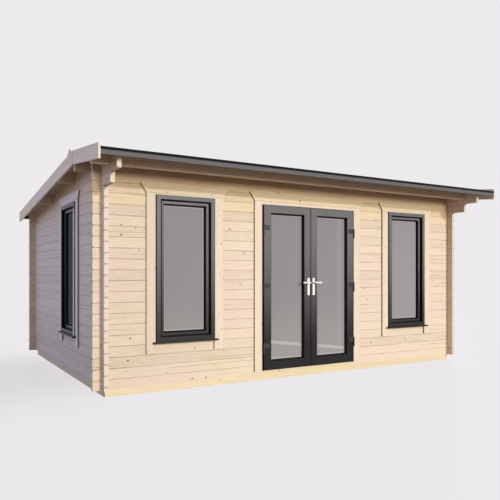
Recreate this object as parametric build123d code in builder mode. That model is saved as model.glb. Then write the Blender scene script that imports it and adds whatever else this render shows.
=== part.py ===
from build123d import *
import os
from math import radians, tan

# A garden office of interlocking logs: crossed log corners, stepped corbels under
# a lopsided apex roof, glazed double doors and three tall windows.
# Millimetres. X runs along the front, +Y goes to the back, Z is up, and the origin
# is on the ground under the middle of the roof.

# Plan
width = 5080
depth = 3560
front_eave = 606
rear_eave = 153
side_eave = 203

# Logs
wall = 44
log = 110.5
first_log = 97.5
log_end = 90
groove_depth = 5
groove_half = 4.5
end_bevel = 10

# Base and floor
bearer_height = 75
bearer_width = 70
front_bearer_inset = 6
side_bearer_inset = 36
floor_bearer_count = 7
floor_thickness = 28
floor_gap = 6

# Roof
ridge_height = 2505
ridge_back = 353
front_slope = 6.07
rear_slope = 5.47
board_stand = 30
felt_thickness = 3
felt_turndown = 18
deck_thickness = 19
barge_depth = 142
barge_thickness = 21
crest_back = 125
crest_half = 90
crest_height = 60
fascia_depth = 66
fascia_thickness = 21

# Corbels and purlins
lower_corbel = 296
upper_corbel = 499
purlin_width = 44
front_purlin_out = 300
front_purlin_depth = 116
ridge_purlin_depth = 153
middle_purlin_back = 1050
rear_purlin_back = 2200
rear_purlin_depth = 114.5

# Windows
window_width = 679
window_height = 1543
window_sill_height = 524
left_window_x = -1629
right_window_x = 1665
side_window_back = 1335
frame_face = 45
frame_proud = 30
frame_depth = 84
sash_face = 51
sash_recess = 36
glass_recess = 34
glass_thickness = 20
bead = 6
bead_bevel = 8
sill_thickness = 18
sill_nose = 58
sill_horn = 37

# Boards round the openings
trim_width = 108
trim_thickness = 18
trim_below_sill = 119
header_lap = 16
header_height = 97
header_flare = 65

# Doors
door_x = 24.5
door_width = 1369
door_bottom = 108
door_top = 2046
door_frame_face = 43
door_threshold_face = 35
door_gap = 5
door_edge_gap = 12
meeting_gap = 10
door_stop_lap = 12
door_stop_thickness = 13
leaf_thickness = 68
leaf_lap = 18
outer_stile = 103
meeting_stile = 98
top_rail = 92
bottom_rail = 102
door_glass_recess = 42

# Door furniture
hinge_heights = (370, 1070, 1748)
hinge_length = 120
hinge_barrel_radius = 9
hinge_barrel_out = 10
hinge_pin_radius = 4
hinge_flag = 80
hinge_flag_height = 55
hinge_flag_thickness = 8
hinge_strap = 3
running_clearance = 0.3
knuckle_gap = 1
hidden_bar_sides = 12
plate_width = 32
plate_height = 210
plate_thickness = 8
plate_from_meeting = 38
plate_middle_height = 1082
spindle_height = 1130
spindle_size = 8
spindle_hole_radius = 6.5
lever_reach = 100
lever_neck_radius = 9
lever_neck = 38
lever_bar_depth = 12
lever_bar_height = 20
lever_bar_bevel = 4

# Places worked out from the sizes
front_y = front_eave - (front_eave + depth + rear_eave) / 2
back_y = front_y + depth
ridge_y = front_y + ridge_back
eave_y = front_y - front_eave
rear_end_y = back_y + rear_eave
right_x = width / 2
left_x = -right_x
left_corner = left_x + wall / 2
right_corner = right_x - wall / 2
front_corner = front_y + wall / 2
back_corner = back_y - wall / 2
roof_half = right_x + side_eave
deck_half = roof_half - barge_thickness
front_fall = tan(radians(front_slope))
rear_fall = tan(radians(rear_slope))
felt_drop = board_stand
deck_drop = felt_drop + felt_thickness
under_drop = deck_drop + deck_thickness
first_joint = bearer_height + first_log
courses = int((ridge_height - first_joint) / log) + 1
front_joints = [first_joint + log * k for k in range(courses)]
side_joints = [first_joint - log / 2 + log * k for k in range(courses)]
window_top = window_sill_height + window_height
front_top = ridge_height - under_drop - ridge_back * front_fall
back_top = ridge_height - under_drop - (back_y - ridge_y) * rear_fall
top_log_bottom = max(z for z in front_joints if z < window_top)
gable_bottom = max(z for z in side_joints if z < back_top)
upper_corbel_bottom = gable_bottom + log
side_window_y = front_y + side_window_back
opening_depth = 400
purlins = {
    "front_purlin": (front_y - front_purlin_out, front_purlin_depth),
    "ridge_purlin": (ridge_y - purlin_width / 2, ridge_purlin_depth),
    "middle_purlin": (front_y + middle_purlin_back, rear_purlin_depth),
    "rear_purlin": (front_y + rear_purlin_back, rear_purlin_depth),
}

# Each window is made facing -Y with its middle on the outer face of its wall
window_planes = [
    Plane(origin=(left_window_x, front_y, 0)),
    Plane(origin=(right_window_x, front_y, 0)),
    Plane(origin=(left_x, side_window_y, 0), x_dir=(0, -1, 0), z_dir=(0, 0, 1)),
]

# The doors are made facing -Y with the line where they meet at x = 0
door_plane = Plane(origin=(door_x, front_y, 0))
door_half = door_width / 2
leaf_bottom = door_bottom + door_edge_gap
leaf_top = door_top - door_edge_gap
leaf_inner = meeting_gap / 2
leaf_outer = door_half - door_edge_gap
leaf_face = -frame_proud
lap_back = leaf_face + leaf_lap
frame_front = lap_back + door_gap
leaf_back = leaf_face + leaf_thickness
hinge_x = door_half - door_edge_gap / 2
hinge_y = leaf_face - hinge_barrel_out

os.makedirs("parts", exist_ok=True)


def roof_z(y, drop=0):
    """Height of a roof layer over y, a plumb drop below the top of the bargeboards."""
    if y < ridge_y:
        return ridge_height - drop - (ridge_y - y) * front_fall
    return ridge_height - drop - (y - ridge_y) * rear_fall


def save(piece, label):
    """Write one finished piece under its name."""
    piece.part.label = label
    export_step(piece.part, f"parts/{label}.step")


def log_face(low, high, joints, deep=groove_depth, half=groove_half):
    """Inset and height of points up one face of a stack of logs, with a V groove at
    each joint and half of one where the stack starts or ends at a joint."""
    points = []
    for z in [low] + [z for z in joints if low < z < high] + [high]:
        is_joint = min(abs(z - joint) for joint in joints) < 0.1
        if not is_joint:
            points.append((0, z))
            continue
        if z > low:
            points.append((0, z - half))
        points.append((deep, z))
        if z < high:
            points.append((0, z + half))
    return points


def log_section(outer, low, high, joints, outward=-1):
    """Closed outline of a stack of logs, grooved at the joints of its outer face and
    flat towards the room."""
    grooved = [(outer - outward * inset, z) for inset, z in log_face(low, high, joints)]
    return grooved + [(outer - outward * wall, high), (outer - outward * wall, low)]


def bevelled_ends(near, far, low, high, joints, near_free=True, far_free=True):
    """Closed elevation of a stack of logs, the corners of each log bevelled at the ends
    that stand free."""
    bevelled = log_face(low, high, joints, end_bevel, end_bevel)
    square = [(0, low), (0, high)]
    near_end = [(near + inset, z) for inset, z in (bevelled if near_free else square)]
    far_end = [(far - inset, z) for inset, z in reversed(bevelled if far_free else square)]
    return near_end + far_end


def closed(points):
    """Face from a list of corners, added to the sketch that is open."""
    Polygon(*points, align=None)


def box_between(x0, x1, y0, y1, z0, z1, mode=Mode.ADD):
    """Upright block between two corners, in the part that is open."""
    with Locations(((x0 + x1) / 2, (y0 + y1) / 2, (z0 + z1) / 2)):
        Box(x1 - x0, y1 - y0, z1 - z0, mode=mode)


def front_log_heights(top):
    """Heights where the front and back walls' logs pass whole through a crossing that
    ends at the roof."""
    return [z for z in side_joints if z + log / 4 <= top]


def side_log_heights(top):
    """Heights where the side walls' logs pass through a crossing. They keep what is left
    of it under the roof."""
    heights = [z for z in [first_joint - log] + front_joints if z - log / 4 < top]
    return heights + [heights[-1] + log / 2]


def notch(corner_x, corner_y, heights, low, high):
    """Cut the square where two walls cross, half a log high about each height that lies
    between the bottom and the top of the piece that is open."""
    spots = [(corner_x, corner_y, z) for z in heights if low - log / 4 < z < high + log / 4]
    if spots:
        with Locations(*spots):
            Box(wall, wall, log / 2, mode=Mode.SUBTRACT)


def front_wall_piece(x0, x1, corner_x, opening_x):
    """Stack of logs of the front wall from x0 to x1, below the top logs, with its
    crossing at one corner."""
    with BuildPart() as piece:
        with BuildSketch(Plane.YZ.offset(x0)):
            closed(log_section(front_y, bearer_height, top_log_bottom, front_joints))
        extrude(amount=x1 - x0)
        with BuildSketch(Plane.XZ.offset(-(front_y + wall))):
            closed(bevelled_ends(x0, x1, bearer_height, top_log_bottom, front_joints,
                                 corner_x < opening_x, opening_x < corner_x))
        extrude(amount=wall, mode=Mode.INTERSECT)
        notch(corner_x, front_corner, side_log_heights(front_top), bearer_height, top_log_bottom)
        half = window_width / 2
        box_between(opening_x - half, opening_x + half, front_y - opening_depth,
                    front_y + opening_depth, window_sill_height, window_top, Mode.SUBTRACT)
    return piece


def under_roof_outline(y0, y1, bottom):
    """Corners of a YZ outline with a level bottom and a top that follows the deck."""
    top = [(y0, roof_z(y0, under_drop))]
    if y0 < ridge_y < y1:
        top.append((ridge_y, roof_z(ridge_y, under_drop)))
    top.append((y1, roof_z(y1, under_drop)))
    return [(y0, bottom)] + top + [(y1, bottom)]


def purlin_bottom(y0, beam_depth):
    """Height of the underside of a purlin, as deep as said on its side nearer the ridge."""
    return roof_z(min(max(y0, ridge_y), y0 + purlin_width), under_drop) - beam_depth


def purlin_piece(y0, beam_depth):
    """Roof beam through both gables, its top planed to the slope."""
    with BuildPart() as piece:
        with BuildSketch(Plane.YZ.offset(-deck_half)):
            outline = under_roof_outline(y0, y0 + purlin_width, purlin_bottom(y0, beam_depth))
            closed(outline)
        extrude(amount=2 * deck_half)
    return piece


def roof_layer(y0, y1, top_drop, bottom_drop, half):
    """Sloping sheet of the roof between two drops below the bargeboards' top."""
    with BuildPart() as piece:
        with BuildSketch(Plane.YZ.offset(-half)):
            closed([(y0, roof_z(y0, bottom_drop)), (y0, roof_z(y0, top_drop)),
                    (y1, roof_z(y1, top_drop)), (y1, roof_z(y1, bottom_drop))])
        extrude(amount=2 * half)
    return piece


def bargeboard(x0, y0, y1):
    """Board along one slope at one end of the roof, cut plumb at eave and ridge. On the
    rear slope it has a small pointed crest just behind the ridge."""
    crest = []
    if y1 > ridge_y:
        crest_y = ridge_y + crest_back
        crest = [(crest_y - crest_half, roof_z(crest_y - crest_half)),
                 (crest_y, roof_z(crest_y) + crest_height),
                 (crest_y + crest_half, roof_z(crest_y + crest_half))]
    with BuildPart() as piece:
        with BuildSketch(Plane.YZ.offset(x0)):
            closed([(y0, roof_z(y0, barge_depth)), (y0, roof_z(y0))] + crest
                   + [(y1, roof_z(y1)), (y1, roof_z(y1, barge_depth))])
        extrude(amount=barge_thickness)
    return piece


def side_window_opening(x0, window_y):
    """Cut the way through for a side window in the part that is open."""
    half = window_width / 2
    box_between(x0 - opening_depth, x0 + opening_depth, window_y - half,
                window_y + half, window_sill_height, window_top, Mode.SUBTRACT)


def side_wall(outer, outward, window_y=None):
    """Stack of logs of a side wall up to the gable, its outer face at the given x."""
    x0 = min(outer, outer - outward * wall)
    with BuildPart() as piece:
        with BuildSketch(Plane.XZ.offset(-(back_y + log_end))):
            closed(log_section(outer, bearer_height, gable_bottom, side_joints, outward))
        extrude(amount=depth + 2 * log_end)
        with BuildSketch(Plane.YZ.offset(x0)):
            closed(bevelled_ends(front_y - log_end, back_y + log_end, bearer_height,
                                 gable_bottom, side_joints))
        extrude(amount=wall, mode=Mode.INTERSECT)
        for corner_y, roof in ((front_corner, front_top), (back_corner, back_top)):
            notch(x0 + wall / 2, corner_y, front_log_heights(roof), bearer_height, gable_bottom)
        if window_y is not None:
            side_window_opening(x0, window_y)
    return piece


def gable(outer, outward, window_y=None):
    """Top logs of a side wall: corbels that step forward, slots for the purlins and a
    top edge that follows the roof."""
    x0 = min(outer, outer - outward * wall)
    with BuildPart() as piece:
        with BuildSketch(Plane.XZ.offset(-(back_y + log_end))):
            closed(log_section(outer, gable_bottom, ridge_height, side_joints, outward))
        extrude(amount=depth + log_end + upper_corbel)
        with BuildSketch(Plane.YZ.offset(x0)):
            outline = under_roof_outline(front_y - upper_corbel, back_y + log_end, gable_bottom)
            steps = [(front_y - lower_corbel, gable_bottom),
                     (front_y - lower_corbel, upper_corbel_bottom),
                     (front_y - upper_corbel, upper_corbel_bottom)]
            closed(steps + outline[1:])
        extrude(amount=wall, mode=Mode.INTERSECT)
        with BuildSketch(Plane.YZ.offset(x0)):
            closed(bevelled_ends(front_y - upper_corbel, back_y + log_end, gable_bottom,
                                 ridge_height, side_joints, False, True))
        extrude(amount=wall, mode=Mode.INTERSECT)
        for corner_y, roof in ((front_corner, front_top), (back_corner, back_top)):
            notch(x0 + wall / 2, corner_y, front_log_heights(roof), gable_bottom, roof)
        for y0, beam_depth in purlins.values():
            box_between(x0, x0 + wall, y0, y0 + purlin_width, purlin_bottom(y0, beam_depth),
                        ridge_height, Mode.SUBTRACT)
        if window_y is not None:
            side_window_opening(x0, window_y)
    return piece


def ring(x0, x1, z0, z1, sides, top, bottom, y0, y1):
    """Four-sided frame in the part that is open, from y0 back to y1."""
    box_between(x0, x1, y0, y1, z0, z1)
    box_between(x0 + sides, x1 - sides, y0, y1, z0 + bottom, z1 - top, Mode.SUBTRACT)


def upright(place, out=0):
    """Plane for a sketch of a front view, in the local frame of a window or door, a
    distance out from the wall's face."""
    return Plane(origin=place.origin - place.y_dir * out, x_dir=place.x_dir, z_dir=-place.y_dir)


def crosswise(place, x):
    """Plane for a sketch of a section, in the local frame of a window or door, at x."""
    return Plane(origin=place.origin + place.x_dir * x, x_dir=place.y_dir, z_dir=place.x_dir)


def bar(place, radius, length, hidden=False, mode=Mode.ADD):
    """Straight round bar standing on a plane, in the part that is open. One that is hidden
    inside another piece has few sides."""
    with BuildSketch(place) as section:
        if hidden:
            RegularPolygon(radius, hidden_bar_sides)
        else:
            Circle(radius)
    extrude(section.sketch, amount=length, mode=mode)


def bevelled_opening(places, middle_x, middle_z, opening_width, opening_height):
    """Bevel the front edges of a glazed opening in the part that is open."""
    with BuildSketch(*places) as bevel:
        with Locations((middle_x, middle_z)):
            Rectangle(opening_width + 2 * bead_bevel, opening_height + 2 * bead_bevel)
    extrude(bevel.sketch, amount=-bead_bevel, taper=45, mode=Mode.SUBTRACT)


def trim_outline(half, low, frame_top, top):
    """Front view of the boards round an opening: two posts and a header with flared ends."""
    outer = half + trim_width
    return [(-outer, low), (-half, low), (-half, frame_top), (half, frame_top), (half, low),
            (outer, low), (outer, top), (outer + header_flare, top + header_height),
            (-outer - header_flare, top + header_height), (-outer, top)]


# Base and floor
with BuildPart() as front_bearer:
    box_between(left_x + side_bearer_inset, right_x - side_bearer_inset,
                front_y + front_bearer_inset, front_y + front_bearer_inset + bearer_width,
                0, bearer_height)
save(front_bearer, "front_bearer")

with BuildPart() as back_bearer:
    box_between(left_x + side_bearer_inset, right_x - side_bearer_inset,
                back_y - front_bearer_inset - bearer_width, back_y - front_bearer_inset,
                0, bearer_height)
save(back_bearer, "back_bearer")

bearer_span = width - 2 * side_bearer_inset - bearer_width
bearer_pitch = bearer_span / (floor_bearer_count + 1)
with BuildPart() as floor_bearers:
    with Locations((0, (front_y + back_y) / 2, bearer_height / 2)):
        with GridLocations(bearer_pitch, 0, floor_bearer_count + 2, 1):
            Box(bearer_width, depth - 2 * (front_bearer_inset + bearer_width), bearer_height)
save(floor_bearers, "floor_bearers")

with BuildPart() as floor:
    box_between(left_x + wall + floor_gap, right_x - wall - floor_gap,
                front_y + wall + floor_gap, back_y - wall - floor_gap,
                bearer_height, bearer_height + floor_thickness)
save(floor, "floor")

# Walls
wall_left_of_door = front_wall_piece(left_x - log_end, door_x - door_half, left_corner, left_window_x)
save(wall_left_of_door, "front_wall_left")
wall_right_of_door = front_wall_piece(door_x + door_half, right_x + log_end, right_corner, right_window_x)
save(wall_right_of_door, "front_wall_right")

with BuildPart() as front_wall_top:
    front_end = front_y + wall
    with BuildSketch(Plane.YZ.offset(left_x - log_end)):
        joints = [top_log_bottom, top_log_bottom + log]
        closed(log_section(front_y, top_log_bottom, ridge_height, joints))
    extrude(amount=width + 2 * log_end)
    with BuildSketch(Plane.YZ.offset(left_x - log_end)):
        closed(under_roof_outline(front_y, front_end, top_log_bottom))
    extrude(amount=width + 2 * log_end, mode=Mode.INTERSECT)
    with BuildSketch(Plane.XZ.offset(-front_end)):
        closed(bevelled_ends(left_x - log_end, right_x + log_end, top_log_bottom, ridge_height, joints))
    extrude(amount=wall, mode=Mode.INTERSECT)
    for corner_x in (left_corner, right_corner):
        notch(corner_x, front_corner, side_log_heights(front_top), top_log_bottom, ridge_height)
    for opening_x in (left_window_x, right_window_x):
        box_between(opening_x - window_width / 2, opening_x + window_width / 2,
                    front_y - opening_depth, front_y + opening_depth,
                    window_sill_height, window_top, Mode.SUBTRACT)
save(front_wall_top, "front_wall_top")

with BuildPart() as back_wall:
    back_inner = back_y - wall
    with BuildSketch(Plane.YZ.offset(left_x - log_end)):
        joints = [z for z in front_joints if z < back_top]
        closed(log_section(back_y, bearer_height, ridge_height, joints, 1))
    extrude(amount=width + 2 * log_end)
    with BuildSketch(Plane.YZ.offset(left_x - log_end)):
        closed(under_roof_outline(back_inner, back_y, bearer_height))
    extrude(amount=width + 2 * log_end, mode=Mode.INTERSECT)
    with BuildSketch(Plane.XZ.offset(-back_y)):
        closed(bevelled_ends(left_x - log_end, right_x + log_end, bearer_height, ridge_height, joints))
    extrude(amount=wall, mode=Mode.INTERSECT)
    for corner_x in (left_corner, right_corner):
        notch(corner_x, back_corner, side_log_heights(back_top), bearer_height, ridge_height)
save(back_wall, "back_wall")

save(side_wall(left_x, -1, side_window_y), "left_wall")
save(side_wall(right_x, 1), "right_wall")
save(gable(left_x, -1, side_window_y), "left_gable")
save(gable(right_x, 1), "right_gable")

# Roof
for name, (purlin_y, beam_depth) in purlins.items():
    save(purlin_piece(purlin_y, beam_depth), name)
fascia_back = eave_y + fascia_thickness
rear_fascia_front = rear_end_y - fascia_thickness
save(roof_layer(fascia_back, ridge_y, deck_drop, under_drop, deck_half), "roof_deck_front")
save(roof_layer(ridge_y, rear_fascia_front, deck_drop, under_drop, deck_half), "roof_deck_rear")

with BuildPart() as front_fascia:
    with BuildSketch(Plane.YZ.offset(-deck_half)):
        fascia_low = roof_z(eave_y, deck_drop) - fascia_depth
        closed([(eave_y, fascia_low), (eave_y, roof_z(eave_y, deck_drop)),
                (fascia_back, roof_z(fascia_back, deck_drop)), (fascia_back, fascia_low)])
    extrude(amount=2 * deck_half)
save(front_fascia, "front_fascia")

with BuildPart() as rear_fascia:
    with BuildSketch(Plane.YZ.offset(-deck_half)):
        fascia_low = roof_z(rear_end_y, deck_drop) - fascia_depth
        closed([(rear_fascia_front, fascia_low),
                (rear_fascia_front, roof_z(rear_fascia_front, deck_drop)),
                (rear_end_y, roof_z(rear_end_y, deck_drop)), (rear_end_y, fascia_low)])
    extrude(amount=2 * deck_half)
save(rear_fascia, "rear_fascia")

for name, eave, outward in (("roof_felt_front", eave_y, -1), ("roof_felt_rear", rear_end_y, 1)):
    with BuildPart() as felt:
        felt_edge = eave + outward * felt_thickness
        with BuildSketch(Plane.YZ.offset(-deck_half)):
            closed([(ridge_y, roof_z(ridge_y, felt_drop)), (felt_edge, roof_z(felt_edge, felt_drop)),
                    (felt_edge, roof_z(eave, deck_drop) - felt_turndown),
                    (eave, roof_z(eave, deck_drop) - felt_turndown),
                    (eave, roof_z(eave, deck_drop)), (ridge_y, roof_z(ridge_y, deck_drop))])
        extrude(amount=2 * deck_half)
    save(felt, name)

for side, x0 in (("left", -roof_half), ("right", deck_half)):
    save(bargeboard(x0, eave_y, ridge_y), f"bargeboard_front_{side}")
    save(bargeboard(x0, ridge_y, rear_end_y), f"bargeboard_rear_{side}")

# Windows
window_half = window_width / 2
sash_half = window_half - frame_face
sash_low = window_sill_height + frame_face
sash_high = window_top - frame_face
sash_front = sash_recess - frame_proud
pane_front = sash_front + glass_recess

with BuildPart(*window_planes) as window_frames:
    ring(-window_half, window_half, window_sill_height, window_top,
         frame_face, frame_face, frame_face, -frame_proud, frame_depth - frame_proud)
save(window_frames, "window_frames")

with BuildPart(*window_planes) as window_sashes:
    ring(-sash_half, sash_half, sash_low, sash_high,
         sash_face, sash_face, sash_face, sash_front, pane_front + glass_thickness + bead)
    bevelled_opening([upright(place, -sash_front) for place in window_planes], 0,
                     (sash_low + sash_high) / 2, 2 * (sash_half - sash_face),
                     sash_high - sash_low - 2 * sash_face)
save(window_sashes, "window_sashes")

with BuildPart(*window_planes) as window_glass:
    box_between(sash_face - sash_half, sash_half - sash_face, pane_front,
                pane_front + glass_thickness, sash_low + sash_face, sash_high - sash_face)
save(window_glass, "window_glass")

with BuildPart(*window_planes) as window_sills:
    sill_low = window_sill_height - sill_thickness
    box_between(-window_half - sill_horn, window_half + sill_horn, -sill_nose,
                -trim_thickness, sill_low, window_sill_height)
    box_between(-window_half, window_half, -trim_thickness, 0, sill_low, window_sill_height)
save(window_sills, "window_sills")

with BuildPart() as window_trims:
    for place in window_planes:
        with BuildSketch(upright(place)):
            closed(trim_outline(window_half, window_sill_height - trim_below_sill,
                                window_top, window_top + header_lap))
        extrude(amount=trim_thickness)
save(window_trims, "window_trims")

# Door frame and threshold
with BuildPart(door_plane) as door_threshold:
    box_between(-door_half, door_half, 0, wall, bearer_height, door_bottom)
save(door_threshold, "door_threshold")

with BuildPart(door_plane) as door_frame:
    stop_front = leaf_back + door_gap
    ring(-door_half, door_half, door_bottom, door_top, door_frame_face, door_frame_face,
         door_threshold_face, frame_front, stop_front)
    stop_face = door_frame_face + door_gap + door_stop_lap
    ring(-door_half, door_half, door_bottom, door_top, stop_face, stop_face,
         door_threshold_face + door_gap + door_stop_lap, stop_front,
         stop_front + door_stop_thickness)
save(door_frame, "door_frame")

with BuildPart() as door_trim:
    with BuildSketch(upright(door_plane)):
        closed(trim_outline(door_half, door_bottom, door_top, window_top + header_lap))
    extrude(amount=trim_thickness)
save(door_trim, "door_trim")


def span(side, near, far):
    """Low and high x of a stretch measured outwards from the line where the doors meet."""
    return tuple(sorted((side * near, side * far)))


def door_point(x, y, z):
    """Point of the part from its place in the doors' own frame."""
    return door_plane.origin + Vector(x, y, z)


def upright_at(side, height):
    """Plane across the hinge line of one leaf at a height."""
    return Plane(origin=door_point(side * hinge_x, hinge_y, height))


def spindle_at(side, y):
    """Plane across the spindle of one leaf at a depth, looking into the room."""
    return Plane(origin=door_point(side * plate_from_meeting, y, spindle_height), z_dir=(0, 1, 0))


pane_start = leaf_face + door_glass_recess
knuckle = (hinge_length - knuckle_gap) / 2
spindle_half = leaf_thickness / 2 + plate_thickness + knuckle_gap
for side, name in ((-1, "left"), (1, "right")):
    with BuildPart(door_plane) as leaf:
        x0, x1 = span(side, leaf_inner, leaf_outer)
        box_between(x0, x1, leaf_face, lap_back, leaf_bottom, leaf_top)
        x0, x1 = span(side, leaf_inner, door_half - door_frame_face - door_gap)
        box_between(x0, x1, lap_back, leaf_back, door_bottom + door_threshold_face + door_gap,
                    door_top - door_frame_face - door_gap)
        g0, g1 = span(side, leaf_inner + meeting_stile, leaf_outer - outer_stile)
        g_low, g_high = leaf_bottom + bottom_rail, leaf_top - top_rail
        box_between(g0, g1, leaf_face, leaf_back, g_low, g_high, Mode.SUBTRACT)
        bevelled_opening([upright(door_plane, -leaf_face)], (g0 + g1) / 2, (g_low + g_high) / 2,
                         g1 - g0, g_high - g_low)
        bar(spindle_at(side, leaf_face), spindle_hole_radius, leaf_thickness, True, Mode.SUBTRACT)
    save(leaf, f"door_leaf_{name}")

    with BuildPart(door_plane) as pane:
        box_between(g0, g1, pane_start, pane_start + glass_thickness, g_low, g_high)
    save(pane, f"door_glass_{name}")

    with BuildPart(door_plane) as plates:
        for y0 in (leaf_face - plate_thickness, leaf_back):
            box_between(side * plate_from_meeting - plate_width / 2,
                        side * plate_from_meeting + plate_width / 2, y0, y0 + plate_thickness,
                        plate_middle_height - plate_height / 2,
                        plate_middle_height + plate_height / 2)
            bar(spindle_at(side, y0), spindle_hole_radius, plate_thickness, True, Mode.SUBTRACT)
    save(plates, f"handle_plates_{name}")

    with BuildPart(door_plane) as lever:
        middle_y = (leaf_face + leaf_back) / 2
        with Locations((side * plate_from_meeting, middle_y, spindle_height)):
            Box(spindle_size, 2 * spindle_half, spindle_size)
        for outward, neck_start in ((-1, -spindle_half - lever_neck), (1, spindle_half)):
            bar(spindle_at(side, middle_y + neck_start), lever_neck_radius, lever_neck)
            bar_y = middle_y + outward * (spindle_half + lever_neck - lever_bar_depth / 2)
            bar_start = side * (plate_from_meeting - lever_neck_radius)
            with BuildSketch(crosswise(door_plane, bar_start)) as section:
                with Locations((bar_y, spindle_height)):
                    Rectangle(lever_bar_depth, lever_bar_height)
                chamfer(section.vertices(), lever_bar_bevel)
            extrude(amount=side * (lever_reach + lever_neck_radius))
    save(lever, f"lever_{name}")

    with BuildPart(door_plane) as leaf_hinges:
        for height in hinge_heights:
            low = height + knuckle_gap / 2
            x0, x1 = span(side, hinge_x - hinge_flag, hinge_x)
            box_between(x0, x1, leaf_face - hinge_flag_thickness, leaf_face, low,
                        low + hinge_flag_height)
            bar(upright_at(side, low), hinge_barrel_radius, knuckle)
            bar(upright_at(side, low), hinge_pin_radius + running_clearance, knuckle, True,
                Mode.SUBTRACT)
    save(leaf_hinges, f"leaf_hinges_{name}")

with BuildPart(door_plane) as frame_hinges:
    for side in (-1, 1):
        for height in hinge_heights:
            low = height - hinge_length / 2
            x0, x1 = span(side, door_half - hinge_strap, door_half)
            box_between(x0, x1, hinge_y, frame_front, low, low + knuckle)
            bar(upright_at(side, low), hinge_barrel_radius, knuckle)
            bar(upright_at(side, low), hinge_pin_radius, hinge_length - knuckle_gap, True)
save(frame_hinges, "frame_hinges")
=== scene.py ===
import bpy
import bmesh
import math
from collections import namedtuple
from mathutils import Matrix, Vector


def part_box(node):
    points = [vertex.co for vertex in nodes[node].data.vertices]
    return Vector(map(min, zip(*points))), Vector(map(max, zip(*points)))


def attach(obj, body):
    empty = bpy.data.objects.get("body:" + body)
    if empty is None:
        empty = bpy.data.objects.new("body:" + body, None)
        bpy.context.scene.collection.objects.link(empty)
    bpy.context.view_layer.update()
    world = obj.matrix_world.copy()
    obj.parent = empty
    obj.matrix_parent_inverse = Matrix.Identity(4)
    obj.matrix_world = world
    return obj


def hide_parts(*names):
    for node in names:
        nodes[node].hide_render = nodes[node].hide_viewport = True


# Looks of the garden office of interlocking logs. Metres, in the frame of the packed
# part: X along the front, -Y out of the doors, +Z up, the origin on the ground.

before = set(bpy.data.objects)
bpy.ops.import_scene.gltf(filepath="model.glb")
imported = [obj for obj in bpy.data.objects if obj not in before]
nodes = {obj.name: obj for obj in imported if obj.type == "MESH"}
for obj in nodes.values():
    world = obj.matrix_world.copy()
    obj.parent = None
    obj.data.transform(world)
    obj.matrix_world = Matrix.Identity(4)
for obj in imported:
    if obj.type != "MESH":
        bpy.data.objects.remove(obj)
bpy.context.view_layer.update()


# Directions
up = Vector((0.0, 0.0, 1.0))
to_front = Vector((0.0, -1.0, 0.0))
to_left = Vector((-1.0, 0.0, 0.0))

# Logs: the height of one, and where the lowest joint lies
log_height = 0.1105
front_first_joint = 0.1725
side_first_joint = front_first_joint - log_height / 2

# Beams and the boards round openings have no such joints, only changes of tone
beam_pitch = 0.6
trim_pitch = 0.4
trim_start = 0.05

# Boards, and the joint between the posts and the header of an opening
header_joint = 2.083
deck_board_width = 0.110
deck_board_groove = 0.004
deck_board_gap = 0.0006
floor_board_width = 0.114
floor_board_groove = 0.0015
bargeboard_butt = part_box("bargeboard_front_left")[1].y

# Roof felt: the y of its first lap, the width of a strip, the height of its foot, and how
# far the black goes below that
felt_first_lap = 0.22
felt_width = 0.83
felt_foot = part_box("roof_felt_front")[0].z
felt_shadow = 0.007

# Lines and strips on the panes, the sashes and the boards round openings
gasket_width = 0.008
gasket_proud = 0.0015
spacer_width = 0.006
spacer_inset = 0.003
spacer_proud = 0.0006
# Seals between frames and sashes, wider than the seal itself to paint the shade there, widest on the near
# side
seal_and_shade_width = 0.016
seal_and_shade_near_width = 0.026
seal_proud = 0.001
# A dark line of painted shade in the gap beside each front frame
gap_shade_width = 0.009
gap_shade_proud = 0.0006

# Nails of the headers, with one in the middle only over the double doors
nail_radius = 0.0055
nail_inset = 0.120
nail_edge = 0.035
nail_rise = 0.030
nail_proud = 0.0006
nail_sides = 12
double_door_least_width = 1.0

# The left wall's surfaces lie left of one x, its window's near upright before one y
left_wall_reach = -2.46
near_upright_reach = -0.512

# Colours of the wood: in pairs where they vary, and the depth of its grain
early_wood = ((0.800, 0.670, 0.530), (0.790, 0.675, 0.480))
pink_wood = (0.815, 0.660, 0.555)
late_wood = ((0.62, 0.46, 0.32), (0.68, 0.52, 0.36))
sawn_wood = ((0.71, 0.61, 0.49), (0.64, 0.52, 0.39))
knot_brown = (0.16, 0.08, 0.04)
butt_brown = (0.10, 0.07, 0.05)
joint_brown = (0.16, 0.085, 0.04)
crack_brown = (0.22, 0.13, 0.07)
wood_relief = 0.0008

# Tints that whole timbers are multiplied by. The treated one is the wood's own colour. The others are
# painted light and shade: a paler, bluer cast on the left wall and the bargeboards, as in their bluish
# shade, and darker purlins and roof boards, as in the shade under the roof
plain_tint = (1.0, 1.0, 1.0)
left_wall_shade_tint = (1.04, 1.08, 1.30)
beam_shade_tint = (0.85, 0.80, 0.75)
bargeboard_shade_tint = (1.22, 1.25, 1.44)
deck_shade_tint = (0.72, 0.66, 0.60)
treated_tint = (0.98, 1.0, 0.84)

# Painted shade on a wall, darker towards one end: the axis, where it is darkest, where it ends, the
# darkest place's factor
front_wall_painted_shade = ("X", -2.6, -0.3, 0.86)
left_wall_painted_shade = ("Z", 0.15, 0.95, 0.84)

# Painted light and shade by height on a wall: the height where one starts, where it is full, what it
# multiplies by. The front is painted yellower towards the eave and darker again in the purlin's shadow,
# and the left wall warmer under the roof, as in its shade there
front_wall_painted_tones = ((1.85, 2.05, (1.02, 1.0, 0.84)), (2.19, 2.25, (0.74, 0.64, 0.60)))
left_wall_painted_tones = ((1.75, 2.25, (1.02, 0.93, 0.74)),)

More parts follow.
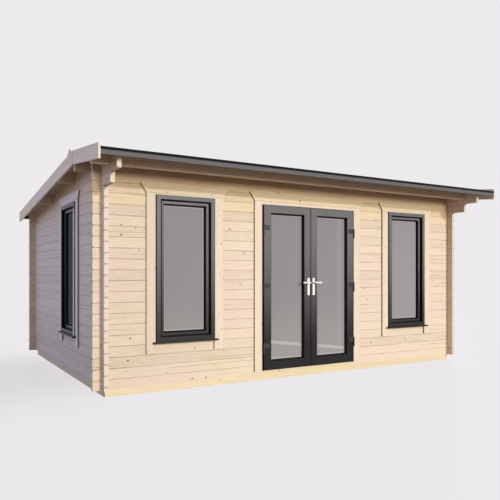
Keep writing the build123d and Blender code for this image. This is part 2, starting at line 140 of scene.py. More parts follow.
# Painted reflections of the pale ground, in bands across the panes: height at x 0, rise for each metre
# along X, half width, colour
door_reflection_bands = ((0.368, -0.127, 0.028, (0.47, 0.46, 0.44)), (0.228, 0.0, 0.024, (0.58, 0.57, 0.53)))
window_reflection_bands = ((0.625, 0.0, 0.022, (0.48, 0.47, 0.45)),)

# Painted reflections, as upright streaks in the doors' panes: middle along X, half width, strength
door_reflection_streaks = ((-0.161, 0.006, 0.5), (0.500, 0.045, 0.35), (0.153, 0.010, 0.6))

# Camera, as solved from the photograph
camera_place = (-4.150, -7.1575, 1.238)
camera_tilt = 90.0
camera_turn = -30.709
camera_lens = 40.83
camera_sensor = 36.0
camera_shift = 0.0474
camera_reach = 200.0

# Light: distant lamps, each with the direction it shines from and its softness in degrees
lamps = (
    dict(name="key", direction=(0.285, -1.0, 0.315), strength=1.50, softness=2.2,
         colour=(0.88, 0.95, 1.0)),
    dict(name="front_fill", direction=(0.10, -1.0, 0.115), strength=1.62, softness=13.0,
         colour=(1.0, 0.88, 0.73)),
    dict(name="side_fill", direction=(-1.0, -0.10, 0.25), strength=0.80, softness=60.0,
         colour=(0.52, 0.62, 1.0)),
    dict(name="back_fill", direction=(0.65, 1.0, 0.55), strength=2.0, softness=40.0,
         colour=(1.0, 0.97, 0.93)),
)
ambient_strength = 0.36
ambient_colour = (0.92, 0.93, 1.0)
background = (0.848, 0.825, 0.848)

# Floor: its colour, the one that it lends the object, its least share of the background,
# the distances between which that grows, and a patch of painted shadow beside the left wall
floor_size = 120.0
floor_colour = (0.80, 0.79, 0.80)
floor_bounce = (0.20, 0.175, 0.15)
floor_glow = 0.93
floor_fade = (4.0, 15.0)
part_middle = (0.0, 0.0)
shadow_patch_middle = (-3.7, 0.3)
shadow_patch_fade = (0.5, 2.7)
shadow_patch_least = 0.85


class Nodes:
    """A node tree that is laid out by short calls. Each value is a number or a socket."""

    def __init__(self, tree):
        self.tree = tree

    def node(self, kind, inputs, **settings):
        """Add a node, with each input either a value or another node's output."""
        node = self.tree.nodes.new("ShaderNode" + kind)
        for key, value in settings.items():
            setattr(node, key, value)
        for key, value in inputs.items():
            self.fill(node.inputs[key], value)
        return node

    def fill(self, socket, value):
        """Set a socket to a value, or link it to another node's output."""
        if isinstance(value, bpy.types.NodeSocket):
            self.tree.links.new(value, socket)
        else:
            socket.default_value = value

    def fill_colour(self, socket, value):
        """Set a colour socket to three parts, or link it to another node's output."""
        self.fill(socket, value if isinstance(value, bpy.types.NodeSocket) else (*value, 1.0))

    def math(self, operation, *values):
        """Result of one operation on one to three values."""
        return self.node("Math", dict(enumerate(values)), operation=operation).outputs[0]

    def plus(self, first, second):
        """Sum of two values."""
        return self.math("ADD", first, second)

    def minus(self, first, second):
        """The first value less the second."""
        return self.math("SUBTRACT", first, second)

    def times(self, first, second):
        """Product of two values."""
        return self.math("MULTIPLY", first, second)

    def over(self, first, second):
        """The first value divided by the second."""
        return self.math("DIVIDE", first, second)

    def scaled(self, value, factor, offset):
        """The value times a factor, plus an offset."""
        return self.math("MULTIPLY_ADD", value, factor, offset)

    def off(self, value, place):
        """How far a value is from a place, to either side."""
        return self.math("ABSOLUTE", self.minus(value, place))

    def pick(self, choice, first, second):
        """The first value where the choice is 0, the second where it is 1."""
        return self.node("Mix", {0: choice, 2: first, 3: second}).outputs[0]

    def ramp(self, value, low, high):
        """Value rising smoothly from 0 at low to 1 at high."""
        ranged = self.node("MapRange", {"Value": value, "From Min": low, "From Max": high},
                           interpolation_type="SMOOTHSTEP")
        return ranged.outputs[0]

    def blend(self, amount, low, high, kind="MIX"):
        """Colour between two colours."""
        mix = self.node("Mix", {"Factor": amount}, data_type="RGBA", blend_type=kind)
        self.fill_colour(mix.inputs[6], low)
        self.fill_colour(mix.inputs[7], high)
        return mix.outputs[2]

    def multiplied(self, colour, factors):
        """A colour with each part multiplied by that of another."""
        return self.blend(1.0, colour, factors, "MULTIPLY")

    def parts(self, colour):
        """Red, green and blue of a colour."""
        return tuple(self.node("SeparateColor", {0: colour}).outputs)

    def vector(self, x, y, z):
        """The three values as one vector."""
        return self.node("CombineXYZ", {0: x, 1: y, 2: z}).outputs[0]

    def noise(self, vector, scale, detail=2.0, roughness=0.5):
        """Smooth noise from 0 to 1."""
        noise = self.node("TexNoise", {"Vector": vector, "Scale": scale, "Detail": detail,
                                       "Roughness": roughness})
        return noise.outputs["Fac"]

    def seen_by(self, *rays):
        """1 for rays of these kinds and 0 for all others."""
        path = self.node("LightPath", {})
        seen = path.outputs[rays[0]]
        for ray in rays[1:]:
            seen = self.math("MAXIMUM", seen, path.outputs[ray])
        return seen


class Shader(Nodes):
    """A new material with one surface, whose nodes are laid out by short calls."""

    def __init__(self, name, roughness, specular, metallic=0.0):
        self.material = bpy.data.materials.new(name)
        self.material.use_nodes = True
        super().__init__(self.material.node_tree)
        self.surface = self.tree.nodes["Principled BSDF"]
        self.surface.inputs["Roughness"].default_value = roughness
        self.surface.inputs["Specular IOR Level"].default_value = specular
        self.surface.inputs["Metallic"].default_value = metallic

    def position(self):
        """The three coordinates of the point, in metres."""
        spot = self.node("TexCoord", {}).outputs["Object"]
        return tuple(self.node("SeparateXYZ", {0: spot}).outputs)

    def facing(self, axis):
        """How much the surface looks along an axis, either way, from 0 to 1."""
        normal = self.node("TexCoord", {}).outputs["Normal"]
        return self.math("ABSOLUTE", self.node("SeparateXYZ", {0: normal}).outputs[axis])

    def colour(self, value):
        """Set the surface's colour, plain or from a node."""
        self.fill_colour(self.surface.inputs["Base Color"], value)

    def rough(self, value):
        """Set the surface's roughness from a node."""
        self.fill(self.surface.inputs["Roughness"], value)

    def bump(self, height, distance, strength):
        """Fine relief, its height in metres from 0 to distance."""
        bump = self.node("Bump", {"Height": height, "Distance": distance, "Strength": strength})
        self.fill(self.surface.inputs["Normal"], bump.outputs[0])


# What board_pattern returns
Pattern = namedtuple("Pattern", "streaks rings knot tone hue")


def knots(shader, along, across):
    """Scattered knots, and the wider patches where the grain bends round them. Each knot
    lies in a cell of its own, and radii are in cells."""
    squeeze, cells_per_metre = 0.75, 8.5
    bare_share, sure_share = 0.87, 0.90
    patch_radius = 0.30
    radius_range, least_radius = 0.07, 0.04
    rim, core = 1.15, 0.6
    spot = shader.vector(shader.times(along, squeeze), across, 0.0)
    cells = shader.node("TexVoronoi", {"Vector": spot, "Scale": cells_per_metre},
                        voronoi_dimensions="2D")
    chance, width = shader.parts(cells.outputs["Color"])[:2]
    there = shader.ramp(chance, bare_share, sure_share)
    patch = shader.times(there, shader.ramp(cells.outputs["Distance"], patch_radius, 0.0))
    radius = shader.scaled(width, radius_range, least_radius)
    inside = shader.over(cells.outputs["Distance"], radius)
    knot = shader.times(there, shader.ramp(inside, rim, core))
    return knot, patch


def board_pattern(shader, along, across, through, pitch, start, seed):
    """Streaks of grain, rings and knots of boards that lie side by side, and two random
    values that each board has to itself, its tone and hue."""
    longest_slide = 31.0
    flow_squeeze, flow_scale, flow_reach = 0.22, 9.0, 12.0
    rings_per_metre, ring_bend = 48.0, 2.6
    half_ring, ring_start = 0.5, 0.02
    streak_squeeze, streak_scale, streak_bend = 0.030, 85.0, 0.03
    index = shader.math("FLOOR", shader.over(shader.minus(across, start), pitch))
    chance = shader.node("TexWhiteNoise", {"W": shader.plus(index, seed)}, noise_dimensions="1D")
    tone, hue, slide = shader.parts(chance.outputs["Color"])
    moved = shader.plus(along, shader.times(slide, longest_slide))
    knot, patch = knots(shader, moved, across)

    flow = shader.vector(shader.times(moved, flow_squeeze), across, through)
    flow = shader.noise(flow, flow_scale, detail=3.0)
    bent = shader.plus(shader.times(flow, flow_reach), shader.times(patch, ring_bend))
    phase = shader.plus(shader.times(across, rings_per_metre), bent)
    rings = shader.ramp(shader.math("PINGPONG", phase, half_ring), ring_start, half_ring)

    bent = shader.scaled(patch, streak_bend, across)
    spot = shader.vector(shader.times(moved, streak_squeeze), bent, through)
    streaks = shader.noise(spot, streak_scale, detail=6.0, roughness=0.62)
    return Pattern(streaks, rings, knot, tone, hue)


def late_grain(shader, pattern, full_streak, streak_share, ring_share):
    """How much of the darker late wood shows, by the streaks and the rings together."""
    first_streak = 0.42
    streak = shader.times(shader.ramp(pattern.streaks, first_streak, full_streak), streak_share)
    return shader.plus(streak, shader.times(shader.minus(1.0, pattern.rings), ring_share))


def planed_wood(shader, run, across, seed, pattern):
    """Colour of planed softwood before tint and shade, with pinker stretches along it."""
    stretch_squeeze, stretch_scale = 0.6, 1.3
    pink_from, pink_full = 0.35, 0.65
    most_late = 0.9
    pale = shader.blend(pattern.hue, *early_wood)
    stretch = shader.noise(shader.vector(shader.times(run, stretch_squeeze), across, seed), stretch_scale)
    pale = shader.blend(shader.ramp(stretch, pink_from, pink_full), pale, pink_wood)
    grain = late_grain(shader, pattern, full_streak=0.80, streak_share=0.70, ring_share=0.26)
    late = shader.blend(pattern.tone, *late_wood)
    return shader.blend(shader.math("MINIMUM", grain, most_late), pale, late)


def end_wood(shader, spot):
    """Colour of a sawn end, with growth rings across it."""
    swirl_scale, rings_per_swirl = 9.0, 7.0
    half_ring, ring_start = 0.5, 0.35
    swirl = shader.noise(spot, swirl_scale)
    ring = shader.math("PINGPONG", shader.times(swirl, rings_per_swirl), half_ring)
    return shader.blend(shader.ramp(ring, ring_start, half_ring), *sawn_wood)


def joint_lines(shader, run, across, through, local, pitch, sawn, strength):
    """Dark lines where boards meet, weaker and stronger by turns, and wider ones between
    the sawn ends."""
    line_reach = 0.0045
    wander_squeeze, wander_scale = 0.5, 5.0
    weak_from, strong_from = 0.25, 0.75
    strength_range, weakest = 1.5, 0.1
    notch_reach, notch_core, notch_strength = 0.012, 0.004, 1.2
    edge = shader.math("MINIMUM", local, shader.minus(pitch, local))
    spot = shader.vector(shader.times(run, wander_squeeze), across, through)
    wander = shader.noise(spot, wander_scale, detail=3.0)
    uneven = shader.scaled(shader.ramp(wander, weak_from, strong_from), strength_range, weakest)
    line = shader.times(shader.times(shader.ramp(edge, line_reach, 0.0), strength), uneven)
    notch = shader.times(shader.ramp(edge, notch_reach, notch_core), strength * notch_strength)
    return shader.math("MAXIMUM", line, shader.times(sawn, notch))


def crack_lines(shader, run, local, pitch, chance):
    """Thin dark lines that run a part of the way along the boards, like fine cracks."""
    reach, core = 0.0034, 0.0012
    height_range, least_height = 0.5, 0.25
    stretch_squeeze, board_step = 0.9, 40.0
    none_below, full_above = 0.52, 0.62
    height = shader.times(shader.scaled(chance, height_range, least_height), pitch)
    line = shader.ramp(shader.off(local, height), reach, core)
    spot = shader.vector(shader.times(run, stretch_squeeze), shader.times(chance, board_step), 0.0)
    stretch = shader.noise(spot, 1.0, detail=1.0)
    return shader.times(line, shader.ramp(stretch, none_below, full_above))


def timber(name, axes, pitch, start, seed, joints=0.35, tint=plain_tint, fade=None, tones=(),
           cracks=0.0, butt=None):
    """Planed softwood in logs or boards. The axes name the direction along them, the one
    across them from each to the next, and the one through them. Joints and cracks are the
    strength of their dark lines, and a butt joint can lie at one y. The tint of most
    timbers, the fade and the tones are painted light and shade. The sawn ends show rings,
    and take no tint, fade or tones."""
    tone_range, darkest_tone = 0.085, 0.93
    side_facing, end_facing = 0.6, 0.8
    seam_reach, seam_core, seam_strength = 0.012, 0.004, 0.7
    knot_range, weakest_knot = 0.45, 0.40
    rough_range, least_rough = 0.25, 0.42
    streak_relief, knot_relief, relief_strength = 0.6, 0.5, 0.8
    shader = Shader(name, roughness=0.55, specular=0.35)
    place = dict(zip("XYZ", shader.position()))
    run, across, through = (place[axis] for axis in axes)
    pattern = board_pattern(shader, run, across, through, pitch, start, seed)
    wood = planed_wood(shader, run, across, seed, pattern)

    shade = shader.scaled(pattern.tone, tone_range, darkest_tone)
    # Painted shade: darker towards one end along an axis
    if fade:
        axis, faded, full, factor = fade
        rise = shader.ramp(place[axis], faded, full)
        shade = shader.times(shade, shader.scaled(rise, 1.0 - factor, factor))
    tinted = {part: shader.times(shade, factor) for part, factor in enumerate(tint)}
    wood = shader.multiplied(wood, shader.node("CombineColor", tinted).outputs[0])
    # Painted light and shade by height
    for low, high, colour in tones:
        wood = shader.blend(shader.ramp(place["Z"], low, high), wood, shader.multiplied(wood, colour))

    sawn = shader.ramp(shader.facing(axes[0]), side_facing, end_facing)
    wood = shader.blend(sawn, wood, end_wood(shader, shader.vector(*place.values())))
    if butt is not None:
        seam = shader.ramp(shader.off(place["Y"], butt), seam_reach, seam_core)
        wood = shader.blend(shader.times(seam, seam_strength), wood, butt_brown)
    knot = shader.times(pattern.knot, shader.scaled(pattern.hue, knot_range, weakest_knot))
    wood = shader.blend(knot, wood, knot_brown)

    local = shader.math("WRAP", shader.minus(across, start), pitch, 0.0)
    lines = joint_lines(shader, run, across, through, local, pitch, sawn, joints)
    wood = shader.blend(lines, wood, joint_brown)
    if cracks:
        lines = shader.times(crack_lines(shader, run, local, pitch, pattern.tone), cracks)
        wood = shader.blend(lines, wood, crack_brown)
    shader.colour(wood)
    shader.rough(shader.scaled(pattern.streaks, rough_range, least_rough))
    raised, sunk = shader.times(pattern.streaks, streak_relief), shader.times(pattern.knot, knot_relief)
    shader.bump(shader.minus(raised, sunk), wood_relief, relief_strength)
    return shader.material


def wall_facing(shader, x):
    """1 in the left wall and 0 elsewhere, and how much the surface faces as its wall does."""
    in_left_wall = shader.math("LESS_THAN", x, left_wall_reach)
    return in_left_wall, shader.pick(in_left_wall, shader.facing("Y"), shader.facing("X"))


def trim_timber(name):
    """Boards round an opening: upright posts with a level header on them, their joints dark
    and their side edges painted dark as shade. Painted shade darkens them towards the
    front's left end, and in the left wall they take pinker colours that paint their shade."""
    posts = ((0.80, 0.665, 0.535), (0.80, 0.68, 0.50))
    headers = (0.78, 0.655, 0.44)
    late = (0.64, 0.49, 0.35)
    # Pinker colours of the boards in the left wall, which paint their shade
    left_wall_shade_wood = ((0.93, 0.80, 0.80), (0.80, 0.68, 0.66))
    knot_dark = (0.22, 0.11, 0.05)
    joint_dark = (0.17, 0.09, 0.04)
    # Painted shade on the boards' side edges, in the front and in the left wall
    edges = ((0.065, 0.040, 0.020), (0.34, 0.26, 0.24))
    # Painted shade towards the front's left end
    darkest_x, full_x, darkest = -2.6, -0.9, 0.81
    grain_from, grain_full = 0.4, 0.9
    knot_strength = 0.75
    line_reach, line_core, line_strength = 0.0022, 0.0008, 0.7
    edge_facing, front_facing = 0.5, 0.9
    relief_strength = 0.8
    shader = Shader(name, roughness=0.55, specular=0.35)
    x, y, z = shader.position()
    side = shader.plus(x, y)
    in_header = shader.math("GREATER_THAN", z, header_joint)
    run = shader.pick(in_header, z, side)
    across = shader.pick(in_header, side, z)
    pattern = board_pattern(shader, run, across, y, trim_pitch, trim_start, seed=71.0)
    pale = shader.blend(in_header, shader.blend(pattern.hue, *posts), headers)
    grain = late_grain(shader, pattern, full_streak=0.85, streak_share=0.60, ring_share=0.22)
    wood = shader.blend(grain, pale, late)
    shade = shader.scaled(shader.ramp(x, darkest_x, full_x), 1.0 - darkest, darkest)
    wood = shader.multiplied(wood, shader.vector(shade, shade, shade))
    in_left_wall, front = wall_facing(shader, x)
    pinker = shader.blend(shader.ramp(pattern.streaks, grain_from, grain_full), *left_wall_shade_wood)
    wood = shader.blend(in_left_wall, wood, pinker)
    wood = shader.blend(shader.times(pattern.knot, knot_strength), wood, knot_dark)
    line = shader.ramp(shader.off(z, header_joint), line_reach, line_core)
    wood = shader.blend(shader.times(line, line_strength), wood, joint_dark)
    # Painted shade on the side edges
    edge = shader.blend(in_left_wall, *edges)
    shader.colour(shader.blend(shader.ramp(front, front_facing, edge_facing), wood, edge))
    shader.bump(shader.minus(pattern.streaks, line), wood_relief, relief_strength)
    return shader.material


def anthracite(name):
    """Satin plastic profile with a fine grained foil. It is painted paler towards the top as
    painted light, its reveals and edges are painted nearly black as shade, and the side
    window's near upright has a painted pale glare."""
    # Painted light and shade: nearly black at the foot, paler at the head
    greys = ((0.014, 0.0125, 0.0125), (0.168, 0.164, 0.167))
    foot_height, head_height = 0.28, 1.84
    foil_squeeze, foil_scale = 0.12, 420.0
    foil_dark, foil_strength = (0.02, 0.02, 0.022), 0.18
    # Painted glare on the side window's near upright
    glare_pale = (0.93, 0.93, 0.95)
    glare_top, glare_full = 2.00, 1.96
    # Painted shade: reveals and edges nearly black
    edge_black = (0.0035, 0.0035, 0.0035)
    edge_facing, front_facing = 0.72, 0.95
    rough_range, least_rough = 0.14, 0.30
    foil_relief, relief_strength = 0.0003, 0.5
    shader = Shader(name, roughness=0.36, specular=0.15)
    x, y, z = shader.position()
    grey = shader.blend(shader.ramp(z, foot_height, head_height), *greys)
    foil = shader.noise(shader.vector(x, y, shader.times(z, foil_squeeze)), foil_scale, detail=3.0)
    grey = shader.blend(shader.times(foil, foil_strength), grey, foil_dark)
    in_left_wall, front = wall_facing(shader, x)
    glare = shader.times(in_left_wall, shader.math("LESS_THAN", y, near_upright_reach))
    glare = shader.times(glare, shader.ramp(z, glare_top, glare_full))
    grey = shader.blend(glare, grey, glare_pale)
    shader.colour(shader.blend(shader.ramp(front, front_facing, edge_facing), grey, edge_black))
    shader.rough(shader.scaled(foil, rough_range, least_rough))
    shader.bump(foil, foil_relief, relief_strength)
    return shader.material


def glass(name, bands, streaks=()):
    """Grey tinted sealed unit, nearly closed to the eye against the dark room. Painted
    reflections: soft bands cross it near the foot, where it mirrors the pale ground, and
    soft streaks stand in it. Painted light and shade: it is paler at the foot and in the
    right window, and darker in the left wall."""
    clouds = ((0.262, 0.245, 0.258), (0.282, 0.268, 0.278))
    cloud_squeeze, cloud_scale = 0.4, 1.2
    # Painted reflected light, paler at the foot
    foot_reflection_grey = (0.38, 0.37, 0.34)
    foot_end, foot_full, foot_strength = 1.1, 0.2, 0.5
    # Painted light, paler in the right window
    right_window_light_grey = (0.33, 0.32, 0.335)
    right_start, right_full, right_strength = 0.8, 1.6, 0.6
    # Painted reflections, in streaks and bands
    reflection_streak_grey = (0.37, 0.35, 0.37)
    streak_core, band_core = 0.3, 0.2
    # Painted shade in the left wall's window, a little paler towards the front
    left_wall_shade_greys = ((0.17, 0.155, 0.17), (0.26, 0.235, 0.26))
    rear_y, near_y = -0.05, -0.35
    opacity = 0.93
    shader = Shader(name, roughness=0.06, specular=0.5)
    x, y, z = shader.position()
    cloud = shader.noise(shader.vector(x, y, shader.times(z, cloud_squeeze)), cloud_scale, detail=1.0)
    grey = shader.blend(cloud, *clouds)
    paler = shader.times(shader.ramp(z, foot_end, foot_full), foot_strength)
    grey = shader.blend(paler, grey, foot_reflection_grey)
    paler = shader.times(shader.ramp(x, right_start, right_full), right_strength)
    grey = shader.blend(paler, grey, right_window_light_grey)
    # Painted reflections: upright streaks
    for place, half, strength in streaks:
        soft = shader.ramp(shader.off(x, place), half, half * streak_core)
        grey = shader.blend(shader.times(soft, strength), grey, reflection_streak_grey)
    # Painted reflections: bands near the foot
    for height, slope, half, colour in bands:
        level = shader.scaled(x, -slope, z)
        soft = shader.ramp(shader.off(level, height), half, half * band_core)
        grey = shader.blend(soft, grey, colour)
    # Painted shade in the left wall
    dark = shader.blend(shader.ramp(y, rear_y, near_y), *left_wall_shade_greys)
    in_left_wall = shader.math("LESS_THAN", x, left_wall_reach)
    shader.colour(shader.blend(in_left_wall, grey, dark))
    shader.surface.inputs["Alpha"].default_value = opacity
    return shader.material


def plain(name, colour, roughness, specular, metallic=0.0):
    """Small part of one colour with a fine uneven finish."""
    spot_scale, spot_strength, darkening = 260.0, 0.24, 0.55
    rough_range = 0.2
    relief, relief_strength = 0.0002, 0.6
    shader = Shader(name, roughness, specular, metallic)
    spots = shader.noise(shader.vector(*shader.position()), spot_scale, detail=4.0)
    darker = tuple(darkening * part for part in colour)
    shader.colour(shader.blend(shader.times(spots, spot_strength), colour, darker))
    shader.rough(shader.scaled(spots, rough_range, roughness - rough_range / 2))
    shader.bump(spots, relief, relief_strength)
    return shader.material


def fascia_paint(name):
    """Weathered grey paint, black just below the foot of the felt, whose edge looks that
    much deeper in the photograph."""
    greys = ((0.128, 0.123, 0.124), (0.070, 0.068, 0.068))
    black = (0.004, 0.004, 0.004)
    spot_squeeze, spot_scale, spot_strength = 0.1, 40.0, 0.4
    relief, relief_strength = 0.0002, 0.6
    shader = Shader(name, roughness=0.6, specular=0.2)
    x, y, z = shader.position()
    spots = shader.noise(shader.vector(shader.times(x, spot_squeeze), y, z), spot_scale, detail=4.0)
    grey = shader.blend(shader.times(spots, spot_strength), *greys)
    shadow = shader.math("GREATER_THAN", z, felt_foot - felt_shadow)
    shader.colour(shader.blend(shadow, grey, black))
    shader.bump(spots, relief, relief_strength)
    return shader.material


def felt_material(name):
    """Dark roofing felt with mineral grains, in lapped strips. Each strip has painted shade
    along one edge and a painted highlight along the other, where the laps step, and the
    felt's turned-down edges are black."""
    grain_scale = 420.0
    grain_greys = ((0.018, 0.018, 0.019), (0.075, 0.075, 0.078))
    worn_grey = (0.085, 0.083, 0.08)
    wear_scale, wear_from, wear_full, wear_strength = 1.6, 0.45, 0.75, 0.4
    # Painted shade along one edge of each strip, and a painted highlight along the other
    lap_shade = (0.006, 0.006, 0.006)
    dark_width, dark_strength = 0.030, 0.85
    lap_highlight = (0.12, 0.12, 0.12)
    pale_width = 0.012
    edge_black = (0.004, 0.004, 0.004)
    edge_facing, top_facing = 0.4, 0.6
    relief, relief_strength = 0.0012, 0.9
    shader = Shader(name, roughness=0.9, specular=0.25)
    x, y, z = shader.position()
    spot = shader.vector(x, y, z)
    grains = shader.node("TexVoronoi", {"Vector": spot, "Scale": grain_scale}).outputs["Color"]
    grain = shader.parts(grains)[0]
    wear = shader.ramp(shader.noise(spot, wear_scale, detail=5.0), wear_from, wear_full)
    felt = shader.blend(shader.times(wear, wear_strength), shader.blend(grain, *grain_greys), worn_grey)
    lap = shader.math("WRAP", shader.minus(y, felt_first_lap), felt_width, 0.0)
    dark = shader.times(shader.ramp(lap, dark_width, 0.0), dark_strength)
    felt = shader.blend(dark, felt, lap_shade)
    felt = shader.blend(shader.ramp(lap, felt_width - pale_width, felt_width), felt, lap_highlight)
    edge = shader.ramp(shader.facing("Z"), top_facing, edge_facing)
    shader.colour(shader.blend(edge, felt, edge_black))
    shader.bump(grain, relief, relief_strength)
    return shader.material


materials = {
    "front": timber("timber_front", "XZY", log_height, front_first_joint, seed=3.0, fade=front_wall_painted_shade,
                    tones=front_wall_painted_tones, cracks=0.6),
    "back": timber("timber_back", "XZY", log_height, front_first_joint, seed=57.0, cracks=0.6),
    "left": timber("timber_left", "YZX", log_height, side_first_joint, seed=19.0, tint=left_wall_shade_tint,
                   fade=left_wall_painted_shade, tones=left_wall_painted_tones, cracks=0.5),
    "right": timber("timber_right", "YZX", log_height, side_first_joint, seed=83.0, cracks=0.6),
    "beam": timber("timber_beam", "XZY", beam_pitch, 0.0, seed=11.0, joints=0.0, tint=beam_shade_tint),
    "board": timber("timber_board", "YZX", beam_pitch, 0.0, seed=29.0, joints=0.0, tint=bargeboard_shade_tint,
                    butt=bargeboard_butt),
    "deck": timber("timber_deck", "YXZ", deck_board_width, 0.0, seed=41.0, joints=0.5, tint=deck_shade_tint),
    "floor": timber("timber_floor", "XYZ", floor_board_width, 0.0, seed=47.0, joints=0.3),
    "bearer": timber("timber_bearer", "XZY", beam_pitch, 0.0, seed=5.0, joints=0.0, tint=treated_tint),
    "joist": timber("timber_joist", "YZX", beam_pitch, 0.0, seed=7.0, joints=0.0, tint=treated_tint),
    "trim": trim_timber("timber_trim"),
    "plastic": anthracite("anthracite_plastic"),
    "glass": glass("window_glass", window_reflection_bands),
    "door_glass": glass("door_glass", door_reflection_bands, door_reflection_streaks),
    "hinge": plain("hinge_metal", (0.020, 0.020, 0.022), roughness=0.4, specular=0.4),
    "white": plain("white_metal", (0.93, 0.93, 0.92), roughness=0.28, specular=0.5),
    "sill": plain("sill_metal", (0.010, 0.010, 0.011), roughness=0.4, specular=0.25),
    "gasket": plain("rubber_gasket", (0.004, 0.004, 0.004), roughness=0.6, specular=0.1),
    # Painted shade of the gaps beside the frames
    "gap_shade": plain("gap_shade", (0.022, 0.018, 0.014), roughness=0.7, specular=0.1),
    "nail": plain("nail_head", (0.060, 0.042, 0.028), roughness=0.5, specular=0.4, metallic=0.6),
    "spacer": plain("spacer_bar", (0.36, 0.35, 0.36), roughness=0.35, specular=0.3),
    "fascia": fascia_paint("fascia_paint"),
    "felt": felt_material("roof_felt"),
}

nodes_of_material = {
    "front": ("front_wall_left", "front_wall_right", "front_wall_top"),
    "back": ("back_wall",),
    "left": ("left_wall", "left_gable"),
    "right": ("right_wall", "right_gable"),
    "beam": ("front_purlin", "ridge_purlin", "middle_purlin", "rear_purlin"),
    "board": ("bargeboard_front_left", "bargeboard_front_right", "bargeboard_rear_left",
              "bargeboard_rear_right"),
    "deck": ("roof_deck_front", "roof_deck_rear"),
    "bearer": ("front_bearer", "back_bearer", "floor", "door_threshold"),
    "joist": ("floor_bearers",),
    "trim": ("window_trims", "door_trim"),
    "plastic": ("window_frames", "window_sashes", "door_frame", "door_leaf_left", "door_leaf_right"),
    "glass": ("window_glass",),
    "door_glass": ("door_glass_left", "door_glass_right"),
    "hinge": ("frame_hinges", "leaf_hinges_left", "leaf_hinges_right"),
    "white": ("handle_plates_left", "handle_plates_right", "lever_left", "lever_right"),
    "sill": ("window_sills",),
    "fascia": ("front_fascia", "rear_fascia"),
    "felt": ("roof_felt_front", "roof_felt_rear"),
}
for material_name, node_names in nodes_of_material.items():
    for node_name in node_names:
        data = nodes[node_name].data
        data.materials.clear()
        data.materials.append(materials[material_name])


def finish_piece(name, mesh, material, body, replaced=()):
    """Object from a mesh builder, riding on a body with its material and slot."""
    data = bpy.data.meshes.new(name)
    bmesh.ops.recalc_face_normals(mesh, faces=mesh.faces)
    mesh.to_mesh(data)
    mesh.free()
    piece = bpy.data.objects.new(name, data)
    bpy.context.scene.collection.objects.link(piece)
    data.materials.append(materials[material])
    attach(piece, body)
    if replaced:
        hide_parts(*replaced)


def prism(mesh, outline, sweep):
    """Closed prism on an outline of points, carried along a vector."""
    near = [mesh.verts.new(Vector(point)) for point in outline]
    far = [mesh.verts.new(Vector(point) + Vector(sweep)) for point in outline]
    mesh.faces.new(near)
    mesh.faces.new(reversed(far))
    count = len(outline)
    for k in range(count):
        following = (k + 1) % count
        mesh.faces.new((near[k], near[following], far[following], far[k]))


def heights_at(node, y):
    """Lowest and highest point of a CAD node at one place from front to back."""
    same_place = 0.001
    heights = [vert.co.z for vert in nodes[node].data.vertices if abs(vert.co.y - y) < same_place]
    return min(heights), max(heights)


def add_deck(node):
    """Roof boards from eave to ridge, with a groove between each two underneath."""
    low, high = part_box(node)
    bottom, top = heights_at(node, low.y)
    rise = heights_at(node, high.y)[0] - bottom
    sweep = (0.0, high.y - low.y, rise)
    count = round((high.x - low.x) / deck_board_width)
    width = (high.x - low.x) / count
    y, groove = low.y, deck_board_groove
    mesh = bmesh.new()
    for k in range(count):
        x0 = low.x + k * width + deck_board_gap / 2
        x1 = x0 + width - deck_board_gap
        prism(mesh, [(x0, y, bottom + groove), (x0 + groove, y, bottom), (x1 - groove, y, bottom),
                     (x1, y, bottom + groove), (x1, y, top), (x0, y, top)], sweep)
    finish_piece(node + "_boards", mesh, "deck", "building", [node])


def add_floor_boards():
    """Boards of the floor inside, along the room."""
    low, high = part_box("floor")
    count = round((high.y - low.y) / floor_board_width)
    width = (high.y - low.y) / count
    groove = floor_board_groove
    mesh = bmesh.new()
    for k in range(count):
        y0 = low.y + k * width + groove / 2
        y1 = y0 + width - groove
        prism(mesh, [(low.x, y0, low.z), (low.x, y1, low.z), (low.x, y1, high.z - groove),
                     (low.x, y1 - groove, high.z), (low.x, y0 + groove, high.z),
                     (low.x, y0, high.z - groove)], (high.x - low.x, 0.0, 0.0))
    finish_piece("floor_boards", mesh, "floor", "building", ["floor"])


def islands(node):
    """Lowest and highest corner of each separate solid in a CAD node."""
    same_point = 1e-5
    mesh = bmesh.new()
    mesh.from_mesh(nodes[node].data)
    bmesh.ops.remove_doubles(mesh, verts=mesh.verts, dist=same_point)
    boxes = []
    left = set(mesh.verts)
    while left:
        group, queue = set(), [next(iter(left))]
        while queue:
            vert = queue.pop()
            if vert in group:
                continue
            group.add(vert)
            queue.extend(edge.other_vert(vert) for edge in vert.link_edges)
        left -= group
        low = Vector([min(vert.co[axis] for vert in group) for axis in range(3)])
        high = Vector([max(vert.co[axis] for vert in group) for axis in range(3)])
        boxes.append((low, high))
    mesh.free()
    return sorted(boxes, key=lambda box: tuple(round(part, 4) for part in box[0]))


def outward_of(low, high):
    """Direction that a pane or frame looks in: those of the left wall are thin along X."""
    return to_left if high.x - low.x < high.y - low.y else to_front


def across_of(outward):
    """Direction along the wall that looks outward, towards +X or +Y."""
    return Vector((abs(outward.y), abs(outward.x), 0.0))


def outer_face(low, high):
    """The same two corners, moved to the face that looks outward, and that direction."""
    outward = outward_of(low, high)
    low, high = low.copy(), high.copy()
    for axis in range(2):
        if outward[axis] < 0:
            high[axis] = low[axis]
    return low, high, outward


